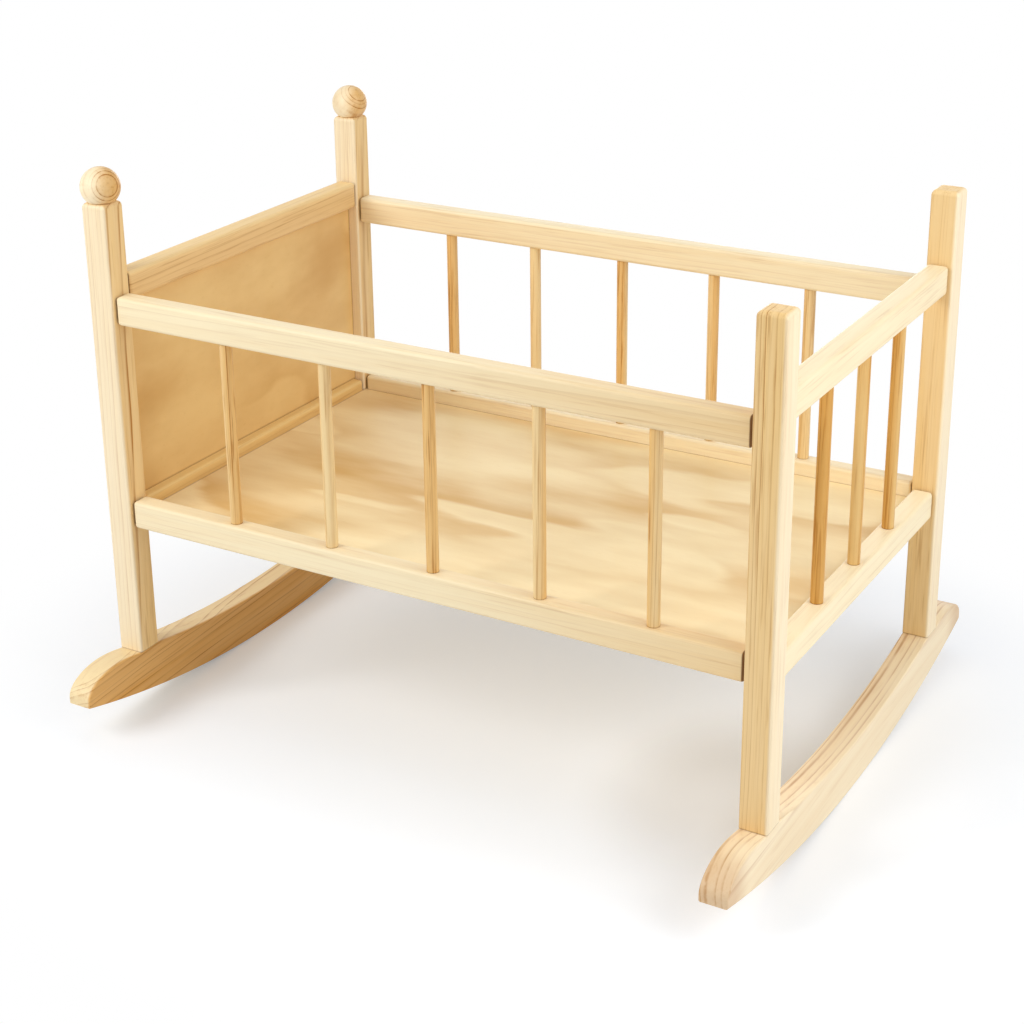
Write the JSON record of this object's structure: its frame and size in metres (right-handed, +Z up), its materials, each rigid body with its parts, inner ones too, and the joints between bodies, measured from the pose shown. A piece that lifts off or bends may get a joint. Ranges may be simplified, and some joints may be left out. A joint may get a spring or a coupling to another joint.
{
  "type": "rocking cradle",
  "caption": "Open pine rocking cradle with square posts, spindle sides, a plywood head panel and base, ball finials at the head and two curved rockers.",
  "frame": {"origin": "on the floor under the middle of the cradle's overall length and width, at the level where the two rockers touch it", "axes": "+X from the head end with the plywood panel and ball finials to the railed foot end, +Y from the front side to the back side, +Z up"},
  "size_m": [0.5805, 0.486, 0.4577],
  "materials": {
    "pine": "satin",
    "plywood": "satin",
    "dowel": "matte"
  },
  "bodies": {
    "root": {"post_head_front": "pine", "post_head_back": "pine", "post_foot_front": "pine", "post_foot_back": "pine", "rail_front_top": "pine", "rail_front_bottom": "pine", "rail_back_top": "pine", "rail_back_bottom": "pine", "rail_head_top": "pine", "rail_head_bottom": "pine", "rail_foot_top": "pine", "rail_foot_bottom": "pine", "spindle_front_1": "pine", "spindle_front_2": "pine", "spindle_front_3": "pine", "spindle_front_4": "pine", "spindle_front_5": "pine", "spindle_back_1": "pine", "spindle_back_2": "pine", "spindle_back_3": "pine", "spindle_back_4": "pine", "spindle_back_5": "pine", "spindle_foot_1": "pine", "spindle_foot_2": "pine", "spindle_foot_3": "pine", "rocker_head": "pine", "rocker_foot": "pine", "finial_front": "pine", "finial_back": "pine", "panel_head": "plywood", "board_base": "plywood", "dowel_front_top_head": "dowel", "dowel_front_top_foot": "dowel", "dowel_front_bottom_head": "dowel", "dowel_front_bottom_foot": "dowel", "dowel_back_top_head": "dowel", "dowel_back_top_foot": "dowel", "dowel_back_bottom_head": "dowel", "dowel_back_bottom_foot": "dowel", "dowel_head_top_front": "dowel", "dowel_head_top_back": "dowel", "dowel_head_bottom_front": "dowel", "dowel_head_bottom_back": "dowel", "dowel_foot_top_front": "dowel", "dowel_foot_top_back": "dowel", "dowel_foot_bottom_front": "dowel", "dowel_foot_bottom_back": "dowel", "dowel_rocker_head_front": "dowel", "dowel_rocker_head_back": "dowel", "dowel_rocker_foot_front": "dowel", "dowel_rocker_foot_back": "dowel", "finial_pin_front": "dowel", "finial_pin_back": "dowel"}
  },
  "joints": []
}
